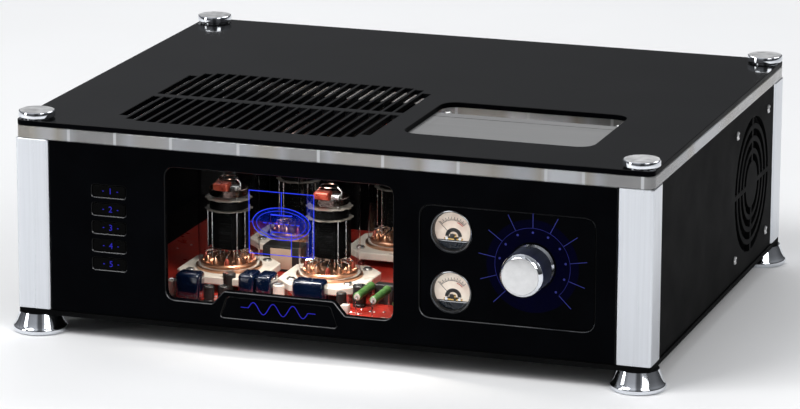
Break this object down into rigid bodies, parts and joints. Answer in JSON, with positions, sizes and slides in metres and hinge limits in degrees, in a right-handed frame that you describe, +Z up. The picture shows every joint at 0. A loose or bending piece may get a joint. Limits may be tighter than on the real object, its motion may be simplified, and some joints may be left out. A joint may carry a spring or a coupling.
{
  "type": "tube amplifier",
  "caption": "Low box tube amplifier: black panels, aluminium corner pillars, clear acrylic deck, window on the tubes, round meters, volume knob, push buttons and fan grille.",
  "frame": {"origin": "on the ground, under the middle of the case", "axes": "+X to the right and +Y to the back, seen from in front of the control panel; +Z up"},
  "size_m": [0.426, 0.3796, 0.1424],
  "materials": {
    "black_panel": "black anodised plate with a soft gloss",
    "gloss_black": "glossy black sheet",
    "brushed_aluminium": "brushed and clear anodised",
    "chrome": "turned and polished",
    "clear_acrylic": "clear acrylic sheet with polished edges",
    "clear_glass": "clear glass",
    "black_plastic": "moulded black plastic",
    "red_board": "red solder resist",
    "green_board": "green solder resist",
    "ceramic": "glazed white ceramic",
    "electrode_metal": "blackened nickel sheet",
    "needle_black": "matt black needle",
    "transformer_black": "black coated metal",
    "gilded_brass": "gold plated"
  },
  "bodies": {
    "chassis": {"base_plate": "black_panel", "foot_front_left": "chrome", "foot_front_right": "chrome", "foot_rear_left": "chrome", "foot_rear_right": "chrome", "pillar_front_left": "brushed_aluminium", "pillar_front_right": "brushed_aluminium", "pillar_rear_left": "brushed_aluminium", "pillar_rear_right": "brushed_aluminium", "front_panel": "black_panel", "badge_plate": "black_panel", "window_glass": "clear_glass", "control_plate": "black_panel", "selector_board": "green_board", "meter_housing_upper": "black_plastic", "meter_lens_upper": "clear_glass", "meter_housing_lower": "black_plastic", "meter_lens_lower": "clear_glass", "volume_potentiometer": "black_plastic", "left_side_panel": "black_panel", "right_side_panel": "black_panel", "rear_panel": "black_panel", "acrylic_deck": "clear_acrylic", "black_top_plate": "gloss_black", "hatch_cover": "brushed_aluminium", "thumb_nut_front_left": "chrome", "thumb_nut_front_right": "chrome", "thumb_nut_rear_left": "chrome", "thumb_nut_rear_right": "chrome", "main_board": "red_board", "tube_socket_front_left": "ceramic", "tube_bulb_front_left": "clear_glass", "tube_electrodes_front_left": "electrode_metal", "tube_socket_front_right": "ceramic", "tube_bulb_front_right": "clear_glass", "tube_electrodes_front_right": "electrode_metal", "tube_socket_rear_left": "ceramic", "tube_bulb_rear_left": "clear_glass", "tube_electrodes_rear_left": "electrode_metal", "tube_socket_rear_right": "ceramic", "tube_bulb_rear_right": "clear_glass", "tube_electrodes_rear_right": "electrode_metal", "power_transformer": "transformer_black", "heatsink": "transformer_black", "fan_frame": "black_plastic", "mains_inlet": "black_plastic", "input_jacks": "black_plastic", "speaker_terminals_left": "gilded_brass", "speaker_terminals_right": "gilded_brass"},
    "button_1": {"input_button_1": "black_plastic"},
    "button_2": {"input_button_2": "black_plastic"},
    "button_3": {"input_button_3": "black_plastic"},
    "button_4": {"input_button_4": "black_plastic"},
    "button_5": {"input_button_5": "black_plastic"},
    "volume_control": {"volume_knob": "chrome", "volume_shaft": "brushed_aluminium"},
    "meter_movement_upper": {"meter_needle_upper": "needle_black"},
    "meter_movement_lower": {"meter_needle_lower": "needle_black"},
    "fan_blades": {"fan_rotor": "black_plastic"},
    "rocker": {"power_rocker": "black_plastic"}
  },
  "joints": [
    {"name": "button_1_press", "type": "slide", "parent": "chassis", "child": "button_1", "axis": [0, 1, 0], "range_m": [0, 0.0012], "stiffness_N_per_m": 400},
    {"name": "button_2_press", "type": "slide", "parent": "chassis", "child": "button_2", "axis": [0, 1, 0], "range_m": [0, 0.0012], "stiffness_N_per_m": 400},
    {"name": "button_3_press", "type": "slide", "parent": "chassis", "child": "button_3", "axis": [0, 1, 0], "range_m": [0, 0.0012], "stiffness_N_per_m": 400},
    {"name": "button_4_press", "type": "slide", "parent": "chassis", "child": "button_4", "axis": [0, 1, 0], "range_m": [0, 0.0012], "stiffness_N_per_m": 400},
    {"name": "button_5_press", "type": "slide", "parent": "chassis", "child": "button_5", "axis": [0, 1, 0], "range_m": [0, 0.0012], "stiffness_N_per_m": 400},
    {"name": "volume_turn", "type": "hinge", "parent": "chassis", "child": "volume_control", "pos_m": [0.1309, -0.1763, 0.0724], "axis": [0, 1, 0], "range_deg": [-135, 135]},
    {"name": "meter_needle_upper_swing", "type": "hinge", "parent": "chassis", "child": "meter_movement_upper", "pos_m": [0.0795, -0.161, 0.0864], "axis": [0, 1, 0], "range_deg": [0, 90], "stiffness_Nm_per_rad": 0.00005},
    {"name": "meter_needle_lower_swing", "type": "hinge", "parent": "chassis", "child": "meter_movement_lower", "pos_m": [0.0795, -0.161, 0.0484], "axis": [0, 1, 0], "range_deg": [0, 90], "stiffness_Nm_per_rad": 0.00005},
    {"name": "fan_spin", "type": "hinge", "parent": "chassis", "child": "fan_blades", "pos_m": [0.189, 0.086, 0.071], "axis": [1, 0, 0], "continuous": true},
    {"name": "power_rocker_tilt", "type": "hinge", "parent": "chassis", "child": "rocker", "pos_m": [0.146, 0.1625, 0.0785], "axis": [1, 0, 0], "range_deg": [-20, 0]}
  ]
}
